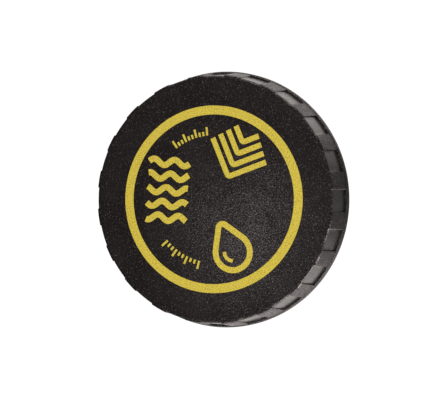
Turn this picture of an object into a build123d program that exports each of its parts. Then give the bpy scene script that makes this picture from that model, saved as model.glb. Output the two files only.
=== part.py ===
"""Screw-in cap for a coolant expansion tank.

The cap stands on the end of its nose with the grip head on top. Z is its screw axis and
the printed face looks along +Z. Heights are measured from the end of the nose.
From the outside in it is made of:
- the grip head, a shallow disc with twenty raised pads round its skirt and a bead below them
- the screw stem, a tube with a flange and a coarse outside thread, locked in the head's hub
- the valve housing, the smooth nose with two O-rings, clipped into the stem from below
- the relief valve, a sprung plate whose rubber disc lifts off a seat in the housing
- the vacuum valve, a small sprung poppet that hangs in the relief valve and opens downwards
All sizes are in millimetres and all angles in degrees.
"""

import os

from build123d import *

# Grip head, seen in the photograph
pad_count = 20
pad_angle = 8.0
first_pad_angle = 4.31
floor_radius = 30.98
floor_flare = 0.54
pad_rise_front = 0.26
pad_rise_rear = 0.63
bead_rise = 0.35
bead_height = 1.95
grip_height = 10.4
face_thickness = 2.6
skirt_wall = 2.0
face_round = 0.4
bead_round = 0.4

# Hub under the head and the split ring that locks the stem on it
hub_wall = 2.0
hub_clearance = 0.1
hub_gap = 2.8
lock_ring_height = 1.2
lock_ring_width = 1.6
lock_ring_gap = 5.0
lock_ring_clearance = 0.1
hub_lip = 1.5

# Drive ribs of the head in the notches of the stem's flange
rib_count = 10
rib_width = 2.8
rib_clearance = 0.15
notch_depth = 1.6

# Screw stem
stem_bore = 19.0
stem_wall = 3.0
stem_reach = 15.8
ledge_width = 1.3
thread_depth = 1.6
thread_pitch = 4.0
thread_turns = 2.5
thread_root = 2.8
thread_crest = 1.2
thread_start = 2.0
thread_gap = 6.0
thread_sink = 0.5
stem_chamfer = 0.8
collar_wall = 2.3
collar_length = 2.4
flange_thickness = 2.0
flange_clearance = 0.78

# Flat gasket under the flange
gasket_thickness = 2.0
gasket_inset = 0.6
gasket_clearance = 0.1

# Valve housing, whose lower end is the nose
nose_length = 16.0
nose_radius = 19.8
nose_chamfer = 0.8
groove_wall = 1.8
sleeve_clearance = 0.05
inlet_radius = 7.0
seat_radius = 9.2
seat_crest = 0.5
seat_root = 1.5
seat_height = 1.2
window_count = 4
window_width = 9.0
window_land = 0.85

# O-rings of the nose
o_ring_section = 2.62
o_ring_groove_depth = 2.0
o_ring_groove_width = 3.2
o_ring_clearance = 0.03
lower_o_ring_height = 5.5
upper_o_ring_drop = 3.0

# Clips that hold the housing in the stem
clip_count = 4
clip_width = 8.0
clip_slot = 1.2
clip_barb = 0.7
clip_barb_height = 1.5
clip_rim = 0.4
clip_room = 2.0
clip_slot_start = 0.6
clip_sink = 0.6

# Cover that closes the housing and takes the thrust of the relief spring
cover_thickness = 4.0
cover_clearance = 0.1
cover_web = 0.5
cover_seal_section = 1.35
cover_seal_groove = 1.8
cover_seal_clearance = 0.03
lug_count = 4
lug_width = 5.0
lug_height = 1.1
lug_rise = 0.6
cover_boss_height = 1.6
cover_recess_radius = 5.0
cover_recess_depth = 2.0

# Relief valve
relief_lift = 2.5
relief_seal_overhang = 2.4
relief_seal_thickness = 1.8
relief_seal_hole = 3.2
relief_seal_clearance = 0.1
clamp_ring_width = 1.2
clamp_ring_height = 0.6
clamp_ring_clearance = 0.03
plate_lip = 0.8
plate_thickness = 1.6
plate_fin_count = 4
plate_fin_width = 3.0
plate_fin_clearance = 0.15
plate_hub_radius = 3.6
plate_hub_height = 2.0

# Both springs: wire drawn with flats instead of round, and one closed turn at each end
wire_sides = 8
end_turns = 1.0
end_turn_slack = 0.08

# Relief spring
relief_spring_radius = 9.0
relief_spring_wire = 1.5
relief_spring_turns = 4.5
relief_spring_length = 11.0
spring_centring_gap = 0.3
centring_wall = 1.0
centring_height = 1.4

# Vacuum valve
vacuum_travel = 1.6
poppet_foot_gap = 0.6
poppet_headroom = 0.3
poppet_radius = 5.4
poppet_thickness = 1.0
poppet_bead_radius = 4.5
poppet_bead_width = 0.6
poppet_bead_height = 0.4
poppet_stem_radius = 1.5
poppet_running_clearance = 0.08
flute_count = 4
flute_radius = 0.5
vacuum_spring_radius = 2.7
vacuum_spring_wire = 0.45
vacuum_spring_turns = 4.5
spring_cap_radius = 3.6
spring_cap_thickness = 1.2
spring_cap_clearance = 0.02
stem_tip = 0.4

# Heights up from the end of the nose. The open poppet stays above the end of the nose, and
# clear of the cover when the relief plate is lifted.
seat_top = poppet_foot_gap + vacuum_travel + poppet_thickness + poppet_bead_height
floor_thickness = seat_top - seat_height
plate_under = seat_top + relief_seal_thickness
plate_top = plate_under + plate_thickness
cover_under = plate_top + relief_spring_length
cover_top = cover_under + cover_thickness
ledge_height = cover_top + clip_room
sleeve_top = ledge_height + sleeve_clearance + clip_barb_height + clip_rim
stem_end = nose_length
upper_o_ring_height = stem_end - upper_o_ring_drop
window_height = upper_o_ring_height - lower_o_ring_height - o_ring_groove_width - 2 * window_land
seal_plane = stem_end + stem_reach
flange_under = seal_plane + gasket_thickness
head_under = flange_under + flange_thickness
face_height = head_under + face_thickness
skirt_end = face_height - grip_height
bead_top = skirt_end + bead_height
hub_end = sleeve_top + hub_gap
lock_ring_under = hub_end + hub_lip
plate_hub_top = plate_top + plate_hub_height
poppet_top = cover_under - relief_lift - poppet_headroom
spring_cap_under = poppet_top - stem_tip - spring_cap_thickness

# Radii that follow from the driving ones
pad_radius_front = floor_radius + pad_rise_front
floor_radius_rear = floor_radius + floor_flare
pad_radius_rear = floor_radius_rear + pad_rise_rear
bead_radius = pad_radius_rear + bead_rise
skirt_radius = floor_radius - skirt_wall
skirt_radius_rear = floor_radius_rear - skirt_wall
flange_radius = skirt_radius - flange_clearance
core_radius = stem_bore + stem_wall
thread_radius = core_radius + thread_depth
upper_bore = stem_bore + ledge_width
collar_radius = upper_bore + collar_wall
hub_radius = upper_bore - hub_clearance
sleeve_radius = stem_bore - sleeve_clearance
valve_bore = nose_radius - o_ring_groove_depth - groove_wall
cover_radius = valve_bore - cover_clearance
gasket_inner = collar_radius + gasket_clearance
gasket_outer = flange_radius - gasket_inset
relief_seal_radius = seat_radius + relief_seal_overhang
plate_radius = relief_seal_radius + relief_seal_clearance + plate_lip
spring_inner = relief_spring_radius - relief_spring_wire / 2


def turned(*points):
    """A solid of revolution about Z from (radius, height) corners."""
    outline = Polyline(*points, close=True)
    return revolve(Plane.XZ * make_face(outline.edges()), Axis.Z)


def ring(inner, outer, low, high):
    """A plain ring between two radii and two heights."""
    return turned((inner, low), (outer, low), (outer, high), (inner, high))


def disc(radius, low, high):
    """A plain disc on the axis between two heights."""
    return Pos(0, 0, low) * Cylinder(radius, high - low, align=(Align.CENTER, Align.CENTER, Align.MIN))


def spoke(inner, outer, width, low, high):
    """A block that reaches outwards along +X between two radii and two heights."""
    size = (outer - inner, width, high - low)
    return Pos(inner, 0, low) * Box(*size, align=(Align.MIN, Align.CENTER, Align.MIN))


def around(shape, count, first=0.0):
    """Copies of a shape, evenly spaced about Z."""
    return [Rot(0, 0, first + 360.0 * step / count) * shape for step in range(count)]


def coil(radius, wire, turns, low, high):
    """A compression spring between two heights, with closed end turns that are ground flat."""
    flat = RegularPolygon(wire / 2, wire_sides, major_radius=False, rotation=180.0 / wire_sides)
    section = Plane.XZ * Pos(radius, 0) * flat
    end_pitch = wire * (1 + end_turn_slack)
    open_turns = turns - 2 * end_turns
    open_pitch = (high - low - 2 * end_turns * end_pitch) / open_turns
    runs = [(end_turns, end_pitch), (open_turns, open_pitch), (end_turns, end_pitch)]
    wound, turned_so_far, height = [], 0.0, low
    for count, pitch in runs:
        path = Helix(pitch=pitch, height=pitch * count, radius=radius)
        run = sweep(section, path=path, is_frenet=True)
        wound.append(Pos(0, 0, height) * Rot(0, 0, 360.0 * turned_so_far) * run)
        turned_so_far += count
        height += pitch * count
    return (wound[0] + wound[1:]) & ring(radius - wire, radius + wire, low, high)


def rounded_profile(radius_front, radius_rear, inner, low):
    """Half section of the skirt down to a height, with its face edge rounded."""
    lean = (radius_rear - radius_front) / (face_height - bead_top)
    shoulder = radius_front + face_round * lean
    with BuildSketch(Plane.XZ) as section:
        with BuildLine():
            edge = Line((inner, face_height), (radius_front - face_round, face_height))
            start = edge @ 1
            arc = TangentArc(start, (shoulder, face_height - face_round), tangent=(1, 0))
            side = Line(arc @ 1, (radius_rear, low))
            foot = Line(side @ 1, (inner, low))
            Line(foot @ 1, (inner, face_height))
        make_face()
    return section.sketch


def bead_profile():
    """Half section of the bead that closes the pockets at the rear."""
    with BuildSketch(Plane.XZ) as section:
        with Locations(((skirt_radius_rear + bead_radius) / 2, skirt_end + bead_height / 2)):
            Rectangle(bead_radius - skirt_radius_rear, bead_height)
        outer = section.vertices().group_by(Axis.X)[-1]
        fillet(outer, bead_round)
    return section.sketch


def grip_head():
    """The castellated head with its hub and drive ribs."""
    skirt = revolve(rounded_profile(floor_radius, floor_radius_rear, 0, bead_top), Axis.Z)
    inside = turned(
        (0, bead_top), (skirt_radius_rear, bead_top), (skirt_radius, head_under), (0, head_under)
    )
    bead = revolve(bead_profile(), Axis.Z)
    pad_root = floor_radius - skirt_wall / 2
    pad_face = rounded_profile(pad_radius_front, pad_radius_rear, pad_root, bead_top)
    pad = revolve(pad_face, Axis.Z, revolution_arc=pad_angle)
    head = skirt - inside + bead
    head += around(pad, pad_count, first_pad_angle)
    rib_end = flange_radius - notch_depth + rib_clearance
    rib = spoke(rib_end, floor_radius - skirt_wall / 2, rib_width, flange_under + rib_clearance, head_under)
    head += around(rib, rib_count)
    groove = ring(
        lock_ring_inner() - lock_ring_clearance, hub_radius,
        lock_ring_under - lock_ring_clearance, lock_ring_under + lock_ring_height + lock_ring_clearance,
    )
    hub = ring(hub_radius - hub_wall, hub_radius, hub_end, head_under)
    return head + (hub - groove)


def lock_ring_inner():
    """Inner radius of the lock ring, which sits half in the hub and half in the stem."""
    return upper_bore - hub_clearance / 2 - lock_ring_width / 2


def lock_ring():
    """The split ring between hub and stem."""
    inner = lock_ring_inner()
    outer = inner + lock_ring_width
    whole = ring(inner, outer, lock_ring_under, lock_ring_under + lock_ring_height)
    return whole - spoke(0, outer + 1, lock_ring_gap, lock_ring_under, lock_ring_under + lock_ring_height)


def thread():
    """The coarse outside thread, broken at two places where the mould parts."""
    path = Helix(pitch=thread_pitch, height=thread_pitch * thread_turns, radius=core_radius)
    section = Plane(path @ 0, x_dir=(1, 0, 0), z_dir=path % 0) * make_face(
        Polyline(
            (-thread_sink, -thread_root / 2), (thread_depth, -thread_crest / 2),
            (thread_depth, thread_crest / 2), (-thread_sink, thread_root / 2), close=True,
        ).edges()
    )
    ridge = Pos(0, 0, stem_end + thread_start) * sweep(section, path=path, is_frenet=True)
    low = stem_end
    high = stem_end + thread_start + thread_pitch * thread_turns + thread_root
    breaks = around(spoke(core_radius - thread_depth, thread_radius + 1, thread_gap, low, high), 2)
    return ridge - breaks


def screw_stem():
    """The threaded tube with its flange, its ledge and the groove of the lock ring."""
    tube = turned(
        (stem_bore, stem_end), (core_radius - stem_chamfer, stem_end),
        (core_radius, stem_end + stem_chamfer), (core_radius, seal_plane - collar_length),
        (collar_radius, seal_plane - collar_length), (collar_radius, flange_under),
        (flange_radius, flange_under), (flange_radius, head_under), (upper_bore, head_under),
        (upper_bore, ledge_height), (stem_bore, ledge_height),
    )
    notch_width = rib_width + 2 * rib_clearance
    notch = spoke(flange_radius - notch_depth, flange_radius + 1, notch_width, flange_under, head_under)
    groove = ring(
        upper_bore - hub_clearance, lock_ring_inner() + lock_ring_width + lock_ring_clearance,
        lock_ring_under - lock_ring_clearance, lock_ring_under + lock_ring_height + lock_ring_clearance,
    )
    return tube + thread() - around(notch, rib_count) - groove


def neck_gasket():
    """The flat rubber ring that seals on the rim of the tank's neck."""
    return ring(gasket_inner, gasket_outer, seal_plane, flange_under)


def valve_housing():
    """The nose with its seat, windows and O-ring grooves, and the sleeve with its clips."""
    groove_floor = nose_radius - o_ring_groove_depth
    body = turned(
        (inlet_radius, 0), (nose_radius - nose_chamfer, 0), (nose_radius, nose_chamfer),
        (nose_radius, stem_end), (sleeve_radius, stem_end), (sleeve_radius, sleeve_top),
        (valve_bore, sleeve_top), (valve_bore, floor_thickness),
        (seat_radius + seat_root / 2, floor_thickness), (seat_radius + seat_crest / 2, seat_top),
        (seat_radius - seat_crest / 2, seat_top), (seat_radius - seat_root / 2, floor_thickness),
        (inlet_radius, floor_thickness),
    )
    for height in (lower_o_ring_height, upper_o_ring_height):
        half = o_ring_groove_width / 2
        body -= ring(groove_floor, nose_radius + 1, height - half, height + half)
    window_mid = (lower_o_ring_height + upper_o_ring_height) / 2
    window = spoke(
        valve_bore - 1, nose_radius + 1, window_width,
        window_mid - window_height / 2, window_mid + window_height / 2,
    )
    body -= around(window, window_count, 180.0 / window_count)
    lug_hole = spoke(
        valve_bore - 1, sleeve_radius + 1, lug_width + 2 * cover_clearance,
        cover_top - lug_height - cover_clearance, cover_top + cover_clearance,
    )
    body -= around(lug_hole, lug_count)
    return body + clip_barbs() - clip_slots()


def clip_barbs():
    """The hooks on the sleeve's fingers that lie on the stem's ledge."""
    low = ledge_height + sleeve_clearance
    root = sleeve_radius - clip_sink
    hook = turned(
        (root, low), (sleeve_radius + clip_barb, low),
        (sleeve_radius, low + clip_barb_height), (root, low + clip_barb_height),
    )
    sector = spoke(valve_bore, sleeve_radius + clip_barb + 1, clip_width, low, low + clip_barb_height)
    return [hook & place for place in around(sector, clip_count, 180.0 / clip_count)]


def clip_slots():
    """The slots on both sides of each finger, cut down from the top of the sleeve."""
    offset = (clip_width + clip_slot) / 2
    slot = spoke(valve_bore - 1, sleeve_radius + 1, clip_slot, cover_top + clip_slot_start, sleeve_top + 1)
    pair = [Pos(0, offset, 0) * slot, Pos(0, -offset, 0) * slot]
    return [copy for one in pair for copy in around(one, clip_count, 180.0 / clip_count)]


def nose_o_ring(height):
    """An O-ring in one of the two grooves of the nose."""
    inner = nose_radius - o_ring_groove_depth + o_ring_clearance
    return Pos(0, 0, height) * Torus(inner + o_ring_section / 2, o_ring_section / 2)


def cover_seal_inner():
    """Inner radius of the cover's seal, which fills the gap to the housing's bore."""
    return valve_bore - cover_seal_clearance - cover_seal_section


def cover_seal_height():
    """Height of the middle of the cover's seal."""
    return cover_under + cover_web + cover_seal_groove / 2


def housing_cover():
    """The lid of the housing, held by lugs, with a boss that centres the relief spring."""
    middle = cover_seal_height()
    half = cover_seal_groove / 2
    lid = disc(cover_radius, cover_under, cover_top)
    lid -= ring(cover_seal_inner() - cover_seal_clearance, cover_radius + 1, middle - half, middle + half)
    boss_radius = spring_inner - spring_centring_gap
    lid += ring(boss_radius - centring_wall, boss_radius, cover_under - cover_boss_height, cover_under)
    lug = spoke(cover_radius - lug_rise, cover_radius + lug_rise, lug_width, cover_top - lug_height, cover_top)
    lid += around(lug, lug_count)
    return lid - disc(cover_recess_radius, cover_top - cover_recess_depth, cover_top)


def cover_seal():
    """The O-ring between the cover and the housing's bore."""
    middle = cover_seal_inner() + cover_seal_section / 2
    return Pos(0, 0, cover_seal_height()) * Torus(middle, cover_seal_section / 2)


def relief_seal():
    """The rubber disc that closes the housing's seat."""
    return ring(relief_seal_hole, relief_seal_radius, seat_top, plate_under)


def clamp_ring():
    """The metal ring pressed into the plate's lip, which holds the rubber disc."""
    outer = plate_radius - plate_lip - clamp_ring_clearance
    return ring(outer - clamp_ring_width, outer, seat_top - clamp_ring_height, seat_top)


def relief_plate():
    """The plate that carries the rubber disc and slides in the housing on its fins."""
    plate = ring(poppet_stem_radius + poppet_running_clearance, plate_radius, plate_under, plate_top)
    plate += ring(plate_radius - plate_lip, plate_radius, seat_top - clamp_ring_height, plate_under)
    plate += ring(
        poppet_stem_radius + poppet_running_clearance, plate_hub_radius, plate_top, plate_hub_top
    )
    outer = spring_inner - spring_centring_gap
    plate += ring(outer - centring_wall, outer, plate_top, plate_top + centring_height)
    tip = valve_bore - plate_fin_clearance
    fin = spoke(plate_radius - plate_lip, tip + 1, plate_fin_width, plate_under, plate_top)
    fin = fin & disc(tip, plate_under, plate_top)
    return plate + around(fin, plate_fin_count)


def relief_spring():
    """The main spring between the relief plate and the cover."""
    return coil(relief_spring_radius, relief_spring_wire, relief_spring_turns, plate_top, cover_under)


def vacuum_poppet():
    """The brass poppet: a disc under the rubber, on a fluted stem."""
    under = seat_top - poppet_bead_height
    poppet = disc(poppet_radius, under - poppet_thickness, under)
    poppet += ring(
        poppet_bead_radius - poppet_bead_width / 2, poppet_bead_radius + poppet_bead_width / 2,
        under, seat_top,
    )
    poppet += disc(poppet_stem_radius, under, poppet_top)
    flute = Pos(poppet_stem_radius, 0, under) * Cylinder(
        flute_radius, spring_cap_under - under, align=(Align.CENTER, Align.CENTER, Align.MIN)
    )
    return poppet - around(flute, flute_count)


def vacuum_spring():
    """The small spring that pulls the poppet up against the rubber."""
    return coil(
        vacuum_spring_radius, vacuum_spring_wire, vacuum_spring_turns, plate_hub_top, spring_cap_under
    )


def spring_cap():
    """The push-on cap that ties the small spring to the poppet's stem."""
    return ring(
        poppet_stem_radius + spring_cap_clearance, spring_cap_radius,
        spring_cap_under, spring_cap_under + spring_cap_thickness,
    )


pieces = {
    "grip_head": grip_head(),
    "lock_ring": lock_ring(),
    "screw_stem": screw_stem(),
    "neck_gasket": neck_gasket(),
    "valve_housing": valve_housing(),
    "lower_o_ring": nose_o_ring(lower_o_ring_height),
    "upper_o_ring": nose_o_ring(upper_o_ring_height),
    "housing_cover": housing_cover(),
    "cover_seal": cover_seal(),
    "relief_plate": relief_plate(),
    "relief_seal": relief_seal(),
    "clamp_ring": clamp_ring(),
    "relief_spring": relief_spring(),
    "vacuum_poppet": vacuum_poppet(),
    "vacuum_spring": vacuum_spring(),
    "spring_cap": spring_cap(),
}

os.makedirs("parts", exist_ok=True)
for name, piece in pieces.items():
    export_step(piece, f"parts/{name}.step")
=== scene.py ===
"""Finishes, print, springs and stage of a screw-in coolant tank cap.

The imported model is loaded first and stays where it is. Each operator then makes one piece or
one group of like pieces of the cap, and the last one makes the floor, the lamps and the camera.
Lengths are in metres and angles in radians. The helpers for properties and for marks on the
face say where they take millimetres and degrees.
"""

import math
from functools import wraps

import bmesh
import bpy
from mathutils import Matrix, Vector


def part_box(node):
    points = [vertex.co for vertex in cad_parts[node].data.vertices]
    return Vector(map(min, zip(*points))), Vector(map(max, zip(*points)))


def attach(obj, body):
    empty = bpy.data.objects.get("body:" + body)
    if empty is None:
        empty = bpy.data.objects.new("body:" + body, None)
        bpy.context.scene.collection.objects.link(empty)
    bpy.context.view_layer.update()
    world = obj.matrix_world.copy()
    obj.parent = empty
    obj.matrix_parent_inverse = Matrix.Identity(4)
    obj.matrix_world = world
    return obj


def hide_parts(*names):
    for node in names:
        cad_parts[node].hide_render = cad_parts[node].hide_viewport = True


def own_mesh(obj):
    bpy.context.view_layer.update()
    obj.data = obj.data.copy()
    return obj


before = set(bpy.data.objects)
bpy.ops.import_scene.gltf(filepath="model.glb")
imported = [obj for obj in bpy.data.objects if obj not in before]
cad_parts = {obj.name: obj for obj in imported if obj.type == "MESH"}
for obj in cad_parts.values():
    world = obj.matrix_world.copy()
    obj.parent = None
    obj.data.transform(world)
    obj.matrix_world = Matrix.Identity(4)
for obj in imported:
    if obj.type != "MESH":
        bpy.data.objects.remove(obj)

bl_info = {
    "name": "Coolant Tank Cap",
    "version": (1, 0, 0),
    "blender": (4, 5, 0),
    "location": "3D View > Sidebar > Tank Cap",
    "description": "Dresses the packed model of a coolant tank cap and sets its stage",
    "category": "Object",
}

MM = 0.001
IMAGE_WIDTH = 443
SENSOR = 0.036
MERGE = 1e-6

HEAD_LOW, HEAD_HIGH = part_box("grip_head")
LOCK_LOW, LOCK_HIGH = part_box("lock_ring")
FLANGE_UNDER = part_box("neck_gasket")[1].z
RELIEF_LOW, RELIEF_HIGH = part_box("relief_spring")
VACUUM_LOW, VACUUM_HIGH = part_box("vacuum_spring")


def number_prop(name, description, value, **options):
    """A number that a user may change."""
    return bpy.props.FloatProperty(name=name, description=description, default=value, **options)


def length_prop(name, description, value):
    """A length that a user may change, given in millimetres."""
    return number_prop(name, description, value * MM, unit="LENGTH", precision=5)


def angle_prop(name, description, value):
    """An angle that a user may change, given in degrees."""
    return number_prop(name, description, math.radians(value), unit="ROTATION")


def count_prop(name, description, value):
    """A whole number that a user may change."""
    return bpy.props.IntProperty(name=name, description=description, default=value)


def colour_prop(name, description, *value):
    """A colour that a user may change, given as red, green and blue."""
    return bpy.props.FloatVectorProperty(
        name=name, description=description, subtype="COLOR", size=3, default=value, min=0, max=1
    )


class CapSizes(bpy.types.PropertyGroup):
    """Sizes of the grip head and of the springs."""

    pads: count_prop("Pads", "Raised pads round the skirt", 20)
    pad_angle: angle_prop("Pad angle", "Width of one pad", 8.0)
    first_pad: angle_prop("First pad", "Where the first pad starts", 4.31)
    floor_radius: length_prop("Pocket radius", "Radius of the pocket floors at the face", 30.98)
    floor_flare: length_prop("Pocket flare", "How much wider the pocket floors are at the bead", 0.85)
    rise_front: length_prop("Rise at the face", "Height of a pad over the pocket at the face", 0.26)
    rise_rear: length_prop("Rise at the bead", "Height of a pad over the pocket at the bead", 0.52)
    pad_edge: length_prop("Pad edge", "Width of a pad's side wall with its rounded corners", 0.2)
    bead_height: length_prop("Bead height", "Height of the bead below the pads", 1.95)
    edge_round: length_prop("Edge round", "Radius on the edge of the face", 0.4)
    bead_round: length_prop("Bead round", "Radius on the bead's edge towards the face", 0.5)
    bead_swell: length_prop("Bead swell", "How far the bead stands out past the packed one", 0.1)
    lip_round: length_prop("Lip round", "Radius on the bead's rear edge", 0.12)
    skirt_wall: length_prop("Skirt wall", "Wall of the skirt and of the hub", 2.0)
    face_thickness: length_prop("Face thickness", "Thickness of the printed face", 2.6)
    hub_radius: length_prop("Hub radius", "Outer radius of the hub inside the stem", 20.2)
    hub_lip: length_prop("Hub lip", "Height of the hub's end below the lock ring", 1.5)
    lock_width: length_prop("Lock ring width", "Radial width of the lock ring", 1.6)
    clearance: length_prop("Groove clearance", "Room round the lock ring in its groove", 0.1)
    ribs: count_prop("Ribs", "Drive ribs under the face", 10)
    rib_width: length_prop("Rib width", "Width of a drive rib", 2.8)
    rib_inner: length_prop("Rib reach", "Radius that the drive ribs reach in to", 26.75)
    rib_clearance: length_prop("Rib clearance", "Height of the ribs' ends over the flange's underside", 0.15)
    relief_wire: length_prop("Relief wire", "Wire of the relief spring", 1.5)
    vacuum_wire: length_prop("Vacuum wire", "Wire of the vacuum spring", 0.45)
    spring_turns: number_prop("Spring turns", "Turns of each spring with its two closed ends", 4.5)


class CapPrint(bpy.types.PropertyGroup):
    """Sizes of the yellow print on the face."""

    ring_inner: length_prop("Ring inner radius", "Inner radius of the printed ring", 21.2)
    ring_outer: length_prop("Ring outer radius", "Outer radius of the printed ring", 23.45)
    thickness: length_prop("Ink thickness", "How far the print stands proud of the face", 0.02)
    tick_length: length_prop("Tick length", "Length of the scale's long ticks", 2.1)
    tick_width: length_prop("Tick width", "Width of the scale's ticks", 0.55)


class CapColours(bpy.types.PropertyGroup):
    """Colours of the cap's materials."""

    nylon: colour_prop("Black nylon", "Grained black of the head", 0.0052, 0.0030, 0.0032)
    # The dusty colour is lighter than the nylon: dust and a painted highlight.
    highlit_dust_colour: colour_prop("Dusty nylon under a painted highlight", "Black of the head under a bloom of dust and a painted highlight", 0.026, 0.0215, 0.0215)
    speck: colour_prop("Speck", "Pale specks of dust and of glass fibre", 0.13, 0.115, 0.115)
    # A pale colour painted as a highlight on the edges of the lit side.
    pale_edge_highlight: colour_prop("Painted edge highlight", "Pale colour painted as a highlight on the lit edges", 0.24, 0.21, 0.2)
    satin: colour_prop("Satin nylon", "Smooth black of the pockets, stem and housing", 0.0125, 0.011, 0.0105)
    natural: colour_prop("Natural nylon", "Undyed nylon of the relief plate", 0.60, 0.57, 0.49)
    ink: colour_prop("Print", "Yellow of the print", 0.66, 0.51, 0.058)
    thin_ink: colour_prop("Thin print", "Yellow where the print is thin", 0.3, 0.24, 0.06)
    rubber: colour_prop("Rubber", "Black of the seals", 0.017, 0.017, 0.018)
    steel: colour_prop("Spring steel", "Drawn stainless wire", 0.58, 0.57, 0.55)
    brass: colour_prop("Brass", "Turned brass of the poppet", 0.76, 0.56, 0.25)


class CapStage(bpy.types.PropertyGroup):
    """The camera and the lamps."""

    focal_pixels: number_prop("Focal length", "Focal length in pixels of the picture", 1700.0)
    turn: angle_prop("Turn", "How far the camera stands to the right of the screw axis", 18.88)
    tilt: angle_prop("Tilt", "How far the camera looks up", -0.33)
    distance: length_prop("Distance", "From the camera's plane to the middle of the face", 424.8)
    aside: length_prop("Aside", "How far the camera stands to the right of its line of sight", 2.261)
    above: length_prop("Above", "How far the camera stands above its line of sight", -0.183)
    softbox_power: number_prop("Softboxes", "Power of each softbox", 2.4, unit="POWER")
    edge_power: number_prop("Edge light", "Power of the lamp that glints on the edge", 2.4, unit="POWER")
    world_light: number_prop("Room light", "Strength of the light from all round", 0.12)


def sign(operation, swapped=False):
    """What a sign such as + does with an output: it adds a maths node."""

    def work(self, other):
        first, second = (other, self) if swapped else (self, other)
        return self.net.math(operation, first, second)

    return work


class Output:
    """An output in a node tree. Sums are written with it as with a number."""

    def __init__(self, net, socket):
        self.net = net
        self.socket = socket

    __add__ = sign("ADD")
    __sub__ = sign("SUBTRACT")
    __rsub__ = sign("SUBTRACT", swapped=True)
    __mul__ = sign("MULTIPLY")
    __truediv__ = sign("DIVIDE")
    __rtruediv__ = sign("DIVIDE", swapped=True)
    __mod__ = sign("FLOORED_MODULO")
    __lt__ = sign("LESS_THAN")
    __gt__ = sign("GREATER_THAN")


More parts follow.
